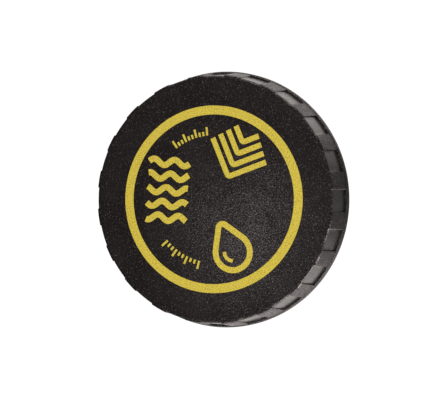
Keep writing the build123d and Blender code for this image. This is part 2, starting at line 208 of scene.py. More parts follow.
class Net:
    """A node tree that is put together one node at a time."""

    def __init__(self, tree):
        self.tree = tree

    @classmethod
    def group(cls, name, kind, inputs, output_kind, outputs):
        """A new node group. An input is given as its default, or as the kind of its socket."""
        net = cls(bpy.data.node_groups.new(name, kind))
        for label, value in inputs.items():
            socket = {float: "Float", int: "Int"}.get(type(value), value)
            made = net.tree.interface.new_socket(
                label, in_out="INPUT", socket_type=f"NodeSocket{socket}"
            )
            if socket != value:
                made.default_value = value
        for label in outputs:
            net.tree.interface.new_socket(
                label, in_out="OUTPUT", socket_type=f"NodeSocket{output_kind}"
            )
        net.inlet = net.add("NodeGroupInput")
        net.outlet = net.add("NodeGroupOutput")
        return net

    @classmethod
    def shader(cls, name, inputs, *masks):
        """A new shader group that reads a place and gives masks."""
        return cls.group(name, "ShaderNodeTree", {"Vector": "Vector", **inputs}, "Float", masks)

    @classmethod
    def geometry(cls, name, inputs):
        """A new geometry tree that takes in one geometry and gives one."""
        inputs = {"Geometry": "Geometry", **inputs}
        return cls.group(name, "GeometryNodeTree", inputs, "Geometry", ["Geometry"])

    def add(self, kind, inputs=None, **options):
        """Adds a node, sets its options, and fills or links its inputs."""
        node = self.tree.nodes.new(kind)
        for option, value in options.items():
            setattr(node, option, value)
        for key, value in (inputs or {}).items():
            self.feed(node.inputs[key], value)
        return node

    def get(self, kind, output=0, inputs=None, **options):
        """Adds a node and gives one of its outputs."""
        return Output(self, self.add(kind, inputs, **options).outputs[output])

    def feed(self, socket, value):
        """Gives a socket a value, or the output that it is linked to."""
        if isinstance(value, Output):
            self.tree.links.new(value.socket, socket)
        else:
            socket.default_value = value

    def __getitem__(self, label):
        """One of the group's own inputs."""
        return Output(self, self.inlet.outputs[label])

    def out(self, label, value):
        """Links a value to one of the group's own outputs."""
        self.feed(self.outlet.inputs[label], value)

    def math(self, operation, first, second=0.0, third=0.0):
        """A number worked out from up to three others."""
        return self.get("ShaderNodeMath", 0, {0: first, 1: second, 2: third}, operation=operation)

    def vector(self, operation, first, second=None, scale=None):
        """A vector worked out from others, or a length, a distance or a product."""
        inputs = {0: first}
        if second is not None:
            inputs[1] = second
        if scale is not None:
            inputs["Scale"] = scale
        is_number = operation in ("LENGTH", "DISTANCE", "DOT_PRODUCT")
        output = "Value" if is_number else "Vector"
        return self.get("ShaderNodeVectorMath", output, inputs, operation=operation)

    def split(self, vector):
        """The three parts of a vector."""
        node = self.add("ShaderNodeSeparateXYZ", {0: vector})
        return [Output(self, part) for part in node.outputs]

    def xyz(self, x=0.0, y=0.0, z=0.0):
        """A vector from its three parts."""
        return self.get("ShaderNodeCombineXYZ", 0, {0: x, 1: y, 2: z})

    def step(self, value, low, high, to_low=0.0, to_high=1.0, kind="SMOOTHSTEP"):
        """A number taken smoothly from one range to another."""
        inputs = {0: value, 1: low, 2: high, 3: to_low, 4: to_high}
        return self.get("ShaderNodeMapRange", 0, inputs, interpolation_type=kind)

    def noise(self, place, detail, scale=1.0):
        """Smooth noise from 0 to 1."""
        inputs = {"Vector": place, "Scale": scale, "Detail": detail}
        return self.get("ShaderNodeTexNoise", "Fac", inputs)

    def mixed(self, factor, first, second):
        """A colour between two others, each an output or red, green and blue."""
        node = self.add("ShaderNodeMix", {"Factor": factor}, data_type="RGBA")
        for socket, colour in ((node.inputs[6], first), (node.inputs[7], second)):
            self.feed(socket, colour if isinstance(colour, Output) else (*colour, 1.0))
        return Output(self, node.outputs[2])

    def tinted(self, colour, factor, low, high):
        """A colour made darker and lighter by a mask."""
        dark = [channel * low for channel in colour]
        return self.mixed(factor, dark, [channel * high for channel in colour])

    def masks(self, tree, place, inputs=None):
        """The masks that a shader group gives at a place."""
        node = self.add("ShaderNodeGroup", {"Vector": place, **(inputs or {})}, node_tree=tree)
        return {mask.name: Output(self, mask) for mask in node.outputs}

    def attribute(self, name):
        """A number that is stored on the mesh."""
        inputs = {"Name": name}
        return self.get("GeometryNodeInputNamedAttribute", 0, inputs, data_type="FLOAT")

    def covered(self, geometry, material, where=True):
        """A geometry in the material of one of the tree's own inputs."""
        inputs = {"Geometry": geometry, "Selection": where, "Material": self[material]}
        return self.get("GeometryNodeSetMaterial", 0, inputs)

    def swept(self, curve, section):
        """A solid from a section that is carried along a curve."""
        level = self.get("GeometryNodeSetCurveNormal", 0, {"Curve": curve}, mode="Z_UP")
        inputs = {"Curve": level, "Profile Curve": section, "Fill Caps": True}
        return self.get("GeometryNodeCurveToMesh", 0, inputs)

    def finish(self, geometry, material):
        """Makes the instances real, covers them, and gives them out."""
        real = self.get("GeometryNodeRealizeInstances", 0, {0: geometry})
        self.out("Geometry", self.covered(real, material))
        return self


def modified(obj, net, values):
    """Puts a geometry tree on an object, sets its inputs, and turns the result into plain mesh."""
    modifier = obj.modifiers.new(net.tree.name, "NODES")
    modifier.node_group = net.tree
    for item in net.tree.interface.items_tree:
        if item.in_out == "INPUT" and item.name in values:
            modifier[item.identifier] = values[item.name]
    return settled(obj)


def settled(obj):
    """Turns an object's modifiers into plain mesh."""
    graph = bpy.context.evaluated_depsgraph_get()
    mesh = bpy.data.meshes.new_from_object(
        obj.evaluated_get(graph), preserve_all_data_layers=True, depsgraph=graph
    )
    if not mesh.polygons:
        raise RuntimeError(f"{obj.name} came out empty")
    old = obj.data
    obj.modifiers.clear()
    obj.data = mesh
    mesh.name = obj.name
    bpy.data.meshes.remove(old)
    return obj


def placed(name, data):
    """A new object in the scene for a mesh, a lamp or a camera."""
    obj = bpy.data.objects.new(name, data)
    bpy.context.scene.collection.objects.link(obj)
    return obj


def built(name, shell):
    """A new object in the scene from mesh code that is done."""
    mesh = bpy.data.meshes.new(name)
    shell.to_mesh(mesh)
    shell.free()
    return placed(name, mesh)


def smoothed(obj, angle=math.radians(32.0)):
    """Shades an object smooth, apart from the edges sharper than an angle."""
    obj.data.polygons.foreach_set("use_smooth", [True] * len(obj.data.polygons))
    obj.data.set_sharp_from_angle(angle=angle)
    return obj


def covered_with(obj, material):
    """Gives an object one material in place of all that it has."""
    obj.data.materials.clear()
    obj.data.materials.append(material)


def dressed(obj, material, body, slot, *nodes):
    """Gives a piece its material, its body and the nodes that it stands for. The slot is not used."""
    if material is not None:
        covered_with(obj, material)
    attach(obj, body)
    if nodes:
        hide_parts(*nodes)
    return obj


def made_once(collection, name):
    """Has a function make its material or node group once, and find it again after that."""

    def keep(make):
        @wraps(make)
        def find():
            return getattr(bpy.data, collection).get(name) or make(name)

        return find

    return keep


@made_once("node_groups", "Spark grain")
def spark_grain(name):
    """The fine grain that spark erosion leaves in a mould: its height, its peaks and soft patches."""
    net = Net.shader(name, {"Grain size": 0.33 * MM}, "Height", "Peaks", "Patches")
    fine = net.vector("SCALE", net["Vector"], scale=1.0 / net["Grain size"])
    patch = net.noise(net.vector("SCALE", fine, scale=0.035), 3.0)
    speck = net.noise(net.vector("SCALE", fine, scale=0.8), 0.0)
    net.out("Height", net.noise(fine, 1.0))
    net.out("Peaks", net.step(speck, 0.66, 0.78))
    net.out("Patches", net.step(patch, 0.3, 0.7))
    return net.tree


@made_once("node_groups", "Settled dust")
def dust_and_highlight_bloom(name):
    """A thin bloom of dust with pale specks, and in it a painted highlight, thickest at one place and gone
    at its reach; the specks grow denser where it is thick.
    """
    inputs = {"Middle": "Vector", "Reach": 25.0 * MM, "Speck size": 0.3 * MM}
    net = Net.shader(name, inputs, "Bloom and highlight", "Specks")
    away = net.vector("DISTANCE", net["Vector"], net["Middle"])
    near = net.step(away, net["Reach"], 0.0)
    fine = net.vector("SCALE", net["Vector"], scale=1.0 / net["Speck size"])
    drift = net.noise(net.vector("SCALE", fine, scale=0.05), 3.0)
    bloom_and_highlight = near * net.step(drift, 0.25, 0.7, 0.45, 1.0)
    limit = net.step(bloom_and_highlight, 0.0, 1.0, 0.74, 0.57, kind="LINEAR")
    net.out("Bloom and highlight", bloom_and_highlight)
    net.out("Specks", net.step(net.noise(fine, 0.0), limit, limit + 0.08))
    return net.tree


@made_once("node_groups", "Rubbed edge")
def rubbed_and_lit_edge(name):
    """A ring round a rounded edge in broken stretches, where hands have rubbed it smooth and where a painted
    highlight goes.
    """
    inputs = {"Radius": 30.0 * MM, "Height": 0.0, "Width": 0.5 * MM, "Gaps": 0.35}
    net = Net.shader(name, inputs, "Edge ring")
    x, y, z = net.split(net["Vector"])
    out = net.vector("LENGTH", net.xyz(x, y)) - net["Radius"]
    down = z - net["Height"]
    away = net.math("SQRT", out * out + down * down)
    broken = net.noise(net["Vector"], 2.0, scale=450.0)
    kept = net.step(broken, net["Gaps"], net["Gaps"] + 0.12)
    net.out("Edge ring", net.step(away, net["Width"], 0.0) * kept)
    return net.tree


@made_once("node_groups", "Mould lines")
def mould_lines(name):
    """Faint lines along the draw of the mould, and wide soft marks where the melt cooled."""
    inputs = {"Line width": 0.3 * MM, "Line length": 8.0 * MM}
    net = Net.shader(name, inputs, "Lines", "Marks")
    across = 1.0 / net["Line width"]
    along = 1.0 / net["Line length"]
    stretched = net.vector("MULTIPLY", net["Vector"], net.xyz(across, across, along))
    wide = net.vector("SCALE", net["Vector"], scale=along * 2.0)
    net.out("Lines", net.noise(stretched, 3.0))
    net.out("Marks", net.step(net.noise(wide, 2.0), 0.35, 0.65))
    return net.tree


@made_once("node_groups", "Turning marks")
def turning_marks(name):
    """Rings round the screw axis that a lathe tool leaves, and patches of tarnish."""
    net = Net.shader(name, {"Feed": 0.08 * MM}, "Rings", "Tarnish")
    x, y, z = net.split(net["Vector"])
    reach = net.math("SQRT", x * x + y * y) + z
    rings = net.math("SINE", reach / net["Feed"])
    tarnish = net.noise(net["Vector"], 4.0, scale=420.0)
    net.out("Rings", net.step(rings, -1.0, 1.0, kind="LINEAR"))
    net.out("Tarnish", net.step(tarnish, 0.4, 0.7))
    return net.tree


def new_material(name):
    """A material, the net that its nodes are added with, and the place on the piece."""
    material = bpy.data.materials.new(name)
    material.use_nodes = True
    net = Net(material.node_tree)
    return material, net, net.get("ShaderNodeTexCoord", "Object")


def shaded(net, inputs):
    """Feeds the tree's own shader, and gives the shader."""
    shader = net.tree.nodes["Principled BSDF"]
    for socket, value in inputs.items():
        net.feed(shader.inputs[socket], value)
    return shader


def finished(net, colour, roughness, height, depth, **plain):
    """Gives a finish its colour, roughness and bump, and what is the same all over."""
    bump = net.get("ShaderNodeBump", "Normal", {"Height": height, "Distance": depth})
    shaded(net, {"Base Color": colour, "Roughness": roughness, "Normal": bump})
    shaded(net, {socket.replace("_", " "): value for socket, value in plain.items()})


def highlit_wall(net, place):
    """Where a wall of the skirt faces the way that the cap turns when it is screwed in: the walls that get a
    painted highlight on the lit side.
    """
    normal = net.get("ShaderNodeTexCoord", "Normal")
    outwards = net.vector("NORMALIZE", net.vector("MULTIPLY", place, (1.0, 1.0, 0.0)))
    clockwise = net.vector("CROSS_PRODUCT", outwards, (0.0, 0.0, 1.0))
    return net.step(net.vector("DOT_PRODUCT", normal, clockwise), 0.2, 0.5)


@made_once("materials", "grained_nylon")
def grained_nylon(name):
    """Black glass-filled nylon with a spark-eroded grain, with dust and a painted highlight in the middle of
    the face and pale painted highlights on the edges of the lit side.
    """
    material, net, place = new_material(name)
    sizes, colours = bpy.context.scene.cap_sizes, bpy.context.scene.cap_colours
    radius, top = sizes.floor_radius, HEAD_HIGH.z
    grain = net.masks(spark_grain(), place)
    # Painted highlight: a paler bloom with specks, centred on the lower right of the face.
    dust_highlight = net.masks(dust_and_highlight_bloom(), place, {"Middle": (9 * MM, -8 * MM, top), "Reach": 30 * MM})
    polished = {"Radius": radius, "Height": top, "Width": 0.6 * MM}
    rub = net.masks(rubbed_and_lit_edge(), place, polished)["Edge ring"]
    hills = net.step(grain["Height"], 0.4, 0.66, kind="LINEAR")
    clean = net.tinted(colours.nylon, hills, 0.05, 2.6)
    dust_highlit_colour = net.mixed(dust_highlight["Bloom and highlight"], clean, net.tinted(colours.highlit_dust_colour, hills, 0.05, 2.6))
    pale = net.math("MAXIMUM", dust_highlight["Specks"], grain["Peaks"] * 0.3)
    specked = net.mixed(pale, dust_highlit_colour, colours.speck)
    # Painted highlight: a pale colour on the face's edge and on the pad walls, only on the lower right of
    # the rim.
    from_lit_side = net.vector("DISTANCE", place, (30 * MM, -15 * MM, HEAD_LOW.z))
    on_lit_side = net.step(from_lit_side, 23 * MM, 14 * MM)
    lit_edge_ring = {
        "Radius": radius + 0.08 * MM, "Height": top - 0.1 * MM, "Width": 0.34 * MM, "Gaps": 0.49,
    }
    edge_glint = net.masks(rubbed_and_lit_edge(), place, lit_edge_ring)["Edge ring"]
    painted_glint = net.math("MAXIMUM", edge_glint, highlit_wall(net, place)) * on_lit_side
    hollows = net.step(grain["Height"], 0.4, 0.6, 0.2, 0.0)
    rough = net.step(grain["Patches"], 0.0, 1.0, 0.24, 0.31) + hollows
    finished(
        net, net.mixed(painted_glint, specked, colours.pale_edge_highlight), rough - rub * 0.1,
        grain["Height"] * (1.0 - rub * 0.7), 0.17 * MM,
        Specular_IOR_Level=0.46, Specular_Tint=(1.0, 0.90, 0.88, 1.0),
    )
    return material


def lined(name, colour, tint, roughness, depth, sizes=None, **plain):
    """A material in one colour, with faint lines in its roughness and its height."""
    material, net, place = new_material(name)
    lines = net.masks(mould_lines(), place, sizes)
    shade = net.tinted(colour, lines["Marks"], *tint)
    rough = net.step(lines["Lines"], 0.3, 0.7, *roughness)
    finished(net, shade, rough, lines["Lines"], depth, **plain)
    return material


@made_once("materials", "satin_nylon")
def satin_nylon(name):
    """Smooth black nylon with faint lines along the draw of the mould."""
    return lined(
        name, bpy.context.scene.cap_colours.satin, tint=(0.8, 1.25), roughness=(0.2, 0.32),
        depth=0.012 * MM, Specular_IOR_Level=0.75, Specular_Tint=(1.0, 0.91, 0.88, 1.0),
    )


@made_once("materials", "natural_nylon")
def natural_nylon(name):
    """Undyed nylon, a little yellowed in patches."""
    return lined(
        name, bpy.context.scene.cap_colours.natural, tint=(0.88, 1.04), roughness=(0.36, 0.5),
        depth=0.015 * MM,
    )


@made_once("materials", "seal_rubber")
def seal_rubber(name):
    """Matt black rubber with a faint bloom."""
    material, net, place = new_material(name)
    grain = net.masks(spark_grain(), place, {"Grain size": 0.12 * MM})
    colour = net.tinted(bpy.context.scene.cap_colours.rubber, grain["Patches"], 0.85, 1.7)
    rough = net.step(grain["Patches"], 0.0, 1.0, 0.46, 0.62)
    finished(net, colour, rough, grain["Height"], 0.02 * MM, Specular_IOR_Level=0.4)
    return material


@made_once("materials", "spring_steel")
def spring_steel(name):
    """Drawn stainless wire with fine scratches."""
    return lined(
        name, bpy.context.scene.cap_colours.steel, tint=(0.82, 1.08), roughness=(0.2, 0.36),
        depth=0.008 * MM, sizes={"Line width": 0.9 * MM, "Line length": 0.06 * MM}, Metallic=1.0,
    )


@made_once("materials", "turned_brass")
def turned_brass(name):
    """Brass from the lathe, with turning marks and a little tarnish."""
    material, net, place = new_material(name)
    marks = net.masks(turning_marks(), place)
    colour = net.tinted(bpy.context.scene.cap_colours.brass, marks["Tarnish"], 1.0, 0.72)
    rough = net.step(marks["Tarnish"], 0.0, 1.0, 0.22, 0.4)
    finished(net, colour, rough, marks["Rings"], 0.004 * MM, Metallic=1.0)
    return material


@made_once("materials", "yellow_ink")
def yellow_ink(name):
    """Yellow print over the grain, thin on the grain's deepest spots."""
    material, net, place = new_material(name)
    colours = bpy.context.scene.cap_colours
    grain = net.masks(spark_grain(), place, {"Grain size": 0.24 * MM})
    covered = net.tinted(colours.ink, net.step(grain["Height"], 0.34, 0.56), 0.62, 1.08)
    colour = net.mixed(grain["Peaks"], covered, colours.thin_ink)
    rough = net.step(grain["Patches"], 0.0, 1.0, 0.5, 0.62)
    finished(net, colour, rough, grain["Height"], 0.06 * MM, Specular_IOR_Level=0.35)
    return material


def lathed(name, rings, angles, closed=False):
    """An object turned from (radius, height, rise) rings, on the axis at both ends unless closed."""
    shell = bmesh.new()
    rise_of = shell.verts.layers.float.new("rise")
    turned = []
    for radius, height, rise in rings:
        if radius == 0.0:
            turned.append([shell.verts.new((0.0, 0.0, height))])
            continue
        ring = []
        for angle in angles:
            vert = shell.verts.new((radius * math.cos(angle), radius * math.sin(angle), height))
            vert[rise_of] = rise
            ring.append(vert)
        turned.append(ring)
    count = len(angles)
    following = turned[1:] + (turned[:1] if closed else [])
    for upper, lower in zip(turned, following):
        for step in range(count):
            after = (step + 1) % count
            if len(upper) == 1:
                shell.faces.new((upper[0], lower[step], lower[after]))
            elif len(lower) == 1:
                shell.faces.new((upper[after], upper[step], lower[0]))
            else:
                shell.faces.new((upper[step], lower[step], lower[after], upper[after]))
    return built(name, shell)


def arc(centre, radius, start, end, steps):
    """Points on a circle, from one angle to another, in degrees."""
    points = []
    for step in range(steps + 1):
        angle = math.radians(start + (end - start) * step / steps)
        points.append((centre[0] + radius * math.cos(angle), centre[1] + radius * math.sin(angle)))
    return points


def column_angles(sizes):
    """Angles of the head's columns: close together at the walls of the pads, and wide elsewhere."""
    pitch = 2 * math.pi / sizes.pads
    edge = sizes.pad_edge / HEAD_HIGH.x
    wall = [edge * (share - 0.5) for share in (0.0, 0.12, 0.3, 0.5, 0.7, 0.88, 1.0)]
    pad_steps, pocket_steps = 5, 6
    cell = list(wall)
    cell += [sizes.pad_angle * step / pad_steps for step in range(1, pad_steps)]
    cell += [sizes.pad_angle + offset for offset in wall]
    pocket = pitch - sizes.pad_angle
    cell += [sizes.pad_angle + pocket * step / pocket_steps for step in range(1, pocket_steps)]
    return [
        sizes.first_pad + pitch * pad + offset for pad in range(sizes.pads) for offset in cell
    ]


def head_rings(sizes):
    """The head's section as (radius, height, rise), from the middle of the face to its underside."""
    top, bottom, bead = HEAD_HIGH.z, HEAD_LOW.z, HEAD_HIGH.x + sizes.bead_swell
    rounding, wall = sizes.edge_round, sizes.skirt_wall
    bead_top = bottom + sizes.bead_height
    face_reach = sizes.floor_radius - rounding
    rings = [(radius, top, 0.0) for radius in (0.0, 0.35 * face_reach, 0.7 * face_reach)]
    rings += [(face_reach - rounding, top, 0.0)]
    for radius, height in arc((face_reach, top - rounding), rounding, 90, 0, 5):
        rings.append((radius, height, sizes.rise_front))
    side_steps = 6
    for step in range(1, side_steps + 1):
        share = step / side_steps
        height = top - rounding + (bead_top - top + rounding) * share
        rise = sizes.rise_front + (sizes.rise_rear - sizes.rise_front) * share
        rings.append((sizes.floor_radius + sizes.floor_flare * share, height, rise))
    swell, foot_overlap = sizes.bead_round, 0.02 * MM
    shelf = bead - swell
    floor_rear = sizes.floor_radius + sizes.floor_flare
    rise = max(floor_rear + sizes.rise_rear - shelf, 0.0) + foot_overlap
    for radius, height in arc((shelf, bead_top - swell), swell, 90, 0, 6):
        rings.append((radius, height, rise))
        rise = 0.0
    lip = sizes.lip_round
    for radius, height in arc((bead - lip, bottom + lip), lip, 0, -90, 4):
        rings.append((radius, height, 0.0))
    under = top - sizes.face_thickness
    groove_low, groove_high = LOCK_LOW.z - sizes.clearance, LOCK_HIGH.z + sizes.clearance
    groove_floor = LOCK_HIGH.x - sizes.lock_width - sizes.clearance
    hub, hub_end = sizes.hub_radius, LOCK_LOW.z - sizes.hub_lip
    inside = [
        (floor_rear - wall, bottom), (floor_rear - wall, bead_top),
        (sizes.floor_radius - wall, under), (hub, under), (hub, groove_high),
        (groove_floor, groove_high), (groove_floor, groove_low), (hub, groove_low),
        (hub, hub_end), (hub - wall, hub_end), (hub - wall, under), (0.0, under),
    ]
    return rings + [(radius, height, 0.0) for radius, height in inside]


def castellation():
    """Lifts the pads out of a turned skirt, adds the drive ribs and parts the finishes."""
    net = Net.geometry("Castellation", {
        "Pads": 20, "First pad": 0.0, "Pad angle": 0.1, "Edge angle": 0.01, "Ribs": 10,
        "Rib size": "Vector", "Rib place": "Vector", "Bead top": 0.0, "Shoulder": 0.0,
        "Skirt inside": 0.0, "Grained": "Material", "Satin": "Material",
    })
    x, y, z = net.split(net.get("GeometryNodeInputPosition"))
    edge, pad_angle = net["Edge angle"], net["Pad angle"]
    from_wall = net.math("ARCTAN2", y, x) - net["First pad"] + edge * 0.5
    along = from_wall % (2 * math.pi / net["Pads"])
    up = net.step(along, 0.0, edge)
    down = net.step(along, pad_angle, pad_angle + edge)
    on_pad = up * (1.0 - down)
    flat = net.xyz(x, y)
    lift = net.vector("SCALE", net.vector("NORMALIZE", flat), scale=net.attribute("rise") * on_pad)
    marked = net.get(
        "GeometryNodeStoreNamedAttribute", 0,
        {"Geometry": net["Geometry"], "Name": "on_pad", "Value": on_pad},
        data_type="FLOAT", domain="POINT",
    )
    lifted = net.get("GeometryNodeSetPosition", 0, {"Geometry": marked, "Offset": lift})

    points = net.get("GeometryNodePoints", 0, {"Count": net["Ribs"]})
    share = net.get("GeometryNodeInputIndex") / net["Ribs"]
    bar = net.get("GeometryNodeMeshCube", 0, {"Size": net["Rib size"]})
    rib = net.get("GeometryNodeTransform", 0, {"Geometry": bar, "Translation": net["Rib place"]})
    turn = net.xyz(z=share * (2 * math.pi))
    ribs = net.get(
        "GeometryNodeInstanceOnPoints", 0, {"Points": points, "Instance": rib, "Rotation": turn}
    )
    whole = net.add("GeometryNodeMeshBoolean", operation="UNION", solver="EXACT")
    net.feed(whole.inputs["Mesh 2"], ribs)
    net.feed(whole.inputs["Mesh 2"], lifted)
    real = net.get("GeometryNodeRealizeInstances", 0, {0: Output(net, whole.outputs["Mesh"])})

    shoulder = net["Shoulder"]
    outside = net.vector("LENGTH", flat) > net["Skirt inside"]
    satin = net.covered(real, "Satin")
    grained = net.covered(satin, "Grained", net.math("MAXIMUM", outside, z > shoulder))
    band = (z > net["Bead top"]) * (z < shoulder) * outside
    in_pocket = net.attribute("on_pad") < 0.5
    net.out("Geometry", net.covered(grained, "Satin", band * in_pocket))
    return net


def printed_stroke():
    """A flat stroke of ink along each line of a mesh, with rounded corners."""
    net = Net.geometry("Printed stroke", {
        "Width": 1.0 * MM, "Thickness": 0.02 * MM, "Corner": 0.5 * MM, "Ink": "Material",
    })
    line = net.get("GeometryNodeMeshToCurve", 0, {0: net["Geometry"]})
    rounded = {"Curve": line, "Radius": net["Corner"], "Count": 6, "Limit Radius": True}
    soft = net.get("GeometryNodeFilletCurve", 0, rounded, mode="POLY")
    cornered = net.get(
        "GeometryNodeSwitch", 0,
        {"Switch": net["Corner"] > 0.0, "False": line, "True": soft}, input_type="GEOMETRY",
    )
    section = net.get(
        "GeometryNodeCurvePrimitiveQuadrilateral", 0,
        {"Width": net["Width"], "Height": net["Thickness"] * 2.0},
    )
    return net.finish(net.swept(cornered, section), "Ink")


def printed_scale():
    """A row of ticks round an arc, each third one longer."""
    net = Net.geometry("Printed scale", {
        "Ticks": 10, "Start": 0.0, "Sweep": 0.5, "Radius": 17.0 * MM, "Height": 0.0,
        "Width": 0.5 * MM, "Length": 2.0 * MM, "Thickness": 0.02 * MM, "Ink": "Material",
    })
    index, length = net.get("GeometryNodeInputIndex"), net["Length"]
    angle = net["Start"] + net["Sweep"] * (index / (net["Ticks"] - 1.0))
    third = (index % 3.0) < 0.5
    stretch = third * 0.5 + 0.5
    reach = net["Radius"] + length * stretch * 0.5
    across, upwards = reach * net.math("COSINE", angle), reach * net.math("SINE", angle)
    spot = net.xyz(across, upwards, net["Height"])
    points = net.get("GeometryNodePoints", 0, {"Count": net["Ticks"], "Position": spot})
    box = net.xyz(length, net["Width"], net["Thickness"] * 2.0)
    tick = net.get("GeometryNodeMeshCube", 0, {"Size": box})
    row = net.get(
        "GeometryNodeInstanceOnPoints", 0,
        {
            "Points": points, "Instance": tick, "Rotation": net.xyz(z=angle),
            "Scale": net.xyz(stretch, 1.0, 1.0),
        },
    )
    return net.finish(row, "Ink")


def wound_spring():
    """A compression spring of round wire, with a closed and ground turn at each end."""
    net = Net.geometry("Wound spring", {
        "Radius": 9.0 * MM, "Wire": 1.5 * MM, "Turns": 4.5, "Low": 0.0, "High": 10.0 * MM,
        "Steel": "Material",
    })
    radius, wire, turns = net["Radius"], net["Wire"], net["Turns"]
    low, high = net["Low"], net["High"]
    spiral = net.get(
        "GeometryNodeCurveSpiral", 0,
        {
            "Resolution": 40, "Rotations": turns, "Start Radius": radius, "End Radius": radius,
            "Height": 0.0,
        },
    )
    turned = net.get("GeometryNodeSplineParameter", "Factor") * turns
    close = wire * 1.08
    start = low + turned * close
    stop = high - (turns - turned) * close
    pitch = (high - low - close * 2.0) / (turns - 2.0)
    between = (low + high) * 0.5 + (turned - turns * 0.5) * pitch
    blend = wire * 0.3
    lower = net.math("SMOOTH_MAX", start, between, blend)
    height = net.math("SMOOTH_MIN", stop, lower, blend)
    x, y, z = net.split(net.get("GeometryNodeInputPosition"))
    lifted = {"Geometry": spiral, "Position": net.xyz(x, y, height)}
    wound = net.get("GeometryNodeSetPosition", 0, lifted)
    section = net.get(
        "GeometryNodeCurvePrimitiveCircle", 0, {"Resolution": 14, "Radius": wire * 0.5}
    )
    coil = net.swept(wound, section)
    ground = net.get("ShaderNodeClamp", 0, {"Value": z, "Min": low, "Max": high})
    flattened = {"Geometry": coil, "Position": net.xyz(x, y, ground)}
    return net.finish(net.get("GeometryNodeSetPosition", 0, flattened), "Steel")


def softened(node, width, angle=math.radians(30.0)):
    """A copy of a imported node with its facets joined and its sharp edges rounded."""
    shell = bmesh.new()
    shell.from_mesh(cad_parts[node].data)
    bmesh.ops.remove_doubles(shell, verts=shell.verts, dist=MERGE)
    bmesh.ops.dissolve_limit(
        shell, angle_limit=math.radians(0.3), verts=shell.verts, edges=shell.edges
    )
    piece = built(f"{node}_soft", shell)
    rounding = piece.modifiers.new("Rounding", "BEVEL")
    rounding.width = width
    rounding.segments = 2
    rounding.limit_method = "ANGLE"
    rounding.angle_limit = angle
    rounding.use_clamp_overlap = True
    return smoothed(settled(piece))


def soften_and_dress(rows):
    """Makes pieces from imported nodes: node, edge round in millimetres, material, body and slot."""
    for node, width, material, body, slot in rows:
        dressed(softened(node, width * MM), material, body, slot, node)


def face_lines(points, radius, angle, turn):
    """Points of a mark put in place on the face, all in millimetres and degrees."""
    angle = math.radians(angle)
    radius *= MM
    place = Matrix.Translation((radius * math.cos(angle), radius * math.sin(angle), HEAD_HIGH.z))
    place = place @ Matrix.Rotation(math.radians(turn), 4, "Z")
    return [place @ Vector((x * MM, y * MM, 0.0)) for x, y in points]


def line_object(name, lines, closed):
    """An object of plain edges, one chain for each list of points."""
    verts, edges = [], []
    for line in lines:
        first = len(verts)
        verts += line
        edges += [(first + step, first + step + 1) for step in range(len(line) - 1)]
        if closed:
            edges.append((first + len(line) - 1, first))
    mesh = bpy.data.meshes.new(name)
    mesh.from_pydata(verts, edges, [])
    return placed(name, mesh)


def joined(name, objects):
    """One object from several, shaded flat."""
    shell = bmesh.new()
    for obj in objects:
        shell.from_mesh(obj.data)
    for face in shell.faces:
        face.smooth = False
    for obj in objects:
        bpy.data.objects.remove(obj)
    return built(name, shell)


class CAP_OT_grip_head(bpy.types.Operator):
    """Make the castellated grip head"""

    bl_idname = "cap.grip_head"
    bl_label = "Grip Head"

    def execute(self, context):
        sizes = context.scene.cap_sizes
        head = lathed("grip_head_dressed", head_rings(sizes), column_angles(sizes))
        overlap = 0.5 * sizes.skirt_wall
        low = FLANGE_UNDER + sizes.rib_clearance
        high = HEAD_HIGH.z - sizes.face_thickness + overlap
        outer = sizes.floor_radius - overlap
        values = {
            "Pads": sizes.pads, "First pad": sizes.first_pad, "Pad angle": sizes.pad_angle,
            "Edge angle": sizes.pad_edge / HEAD_HIGH.x, "Ribs": sizes.ribs,
            "Rib size": (outer - sizes.rib_inner, sizes.rib_width, high - low),
            "Rib place": ((outer + sizes.rib_inner) / 2, 0.0, (high + low) / 2),
            "Bead top": HEAD_LOW.z + sizes.bead_height,
            "Shoulder": HEAD_HIGH.z - sizes.edge_round, "Skirt inside": outer,
            "Grained": grained_nylon(), "Satin": satin_nylon(),
        }
        modified(head, castellation(), values)
        dressed(smoothed(head), None, "root", "grip_nylon", "grip_head")
        return {"FINISHED"}


